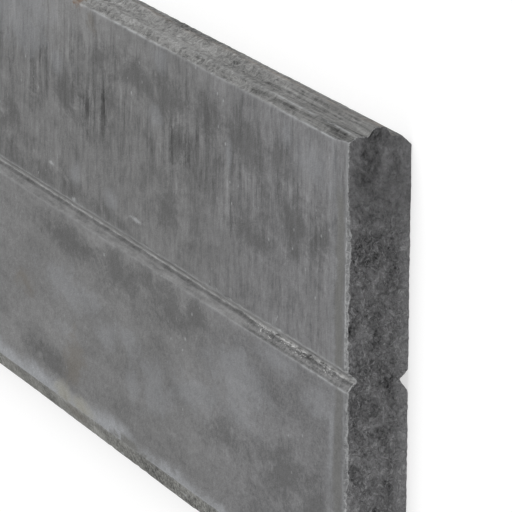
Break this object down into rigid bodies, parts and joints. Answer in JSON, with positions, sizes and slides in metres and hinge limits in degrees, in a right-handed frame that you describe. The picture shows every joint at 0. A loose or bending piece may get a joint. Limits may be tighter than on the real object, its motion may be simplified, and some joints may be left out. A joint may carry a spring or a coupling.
{
  "type": "concrete gravel board",
  "caption": "Long cast concrete plank for the foot of a fence, with a V-groove along each face, chamfered edges and a low ridge along its upper edge.",
  "frame": {"origin": "middle of the board's outline, at floor level on its back face", "axes": "+X along the board's length, +Y from its lower edge to its ridged upper edge, +Z out of its front face, up from the floor that it lies on"},
  "size_m": [1.84, 0.2644, 0.035],
  "materials": {
    "concrete": "matte"
  },
  "bodies": {
    "root": {"gravel_board": "concrete"}
  },
  "joints": []
}
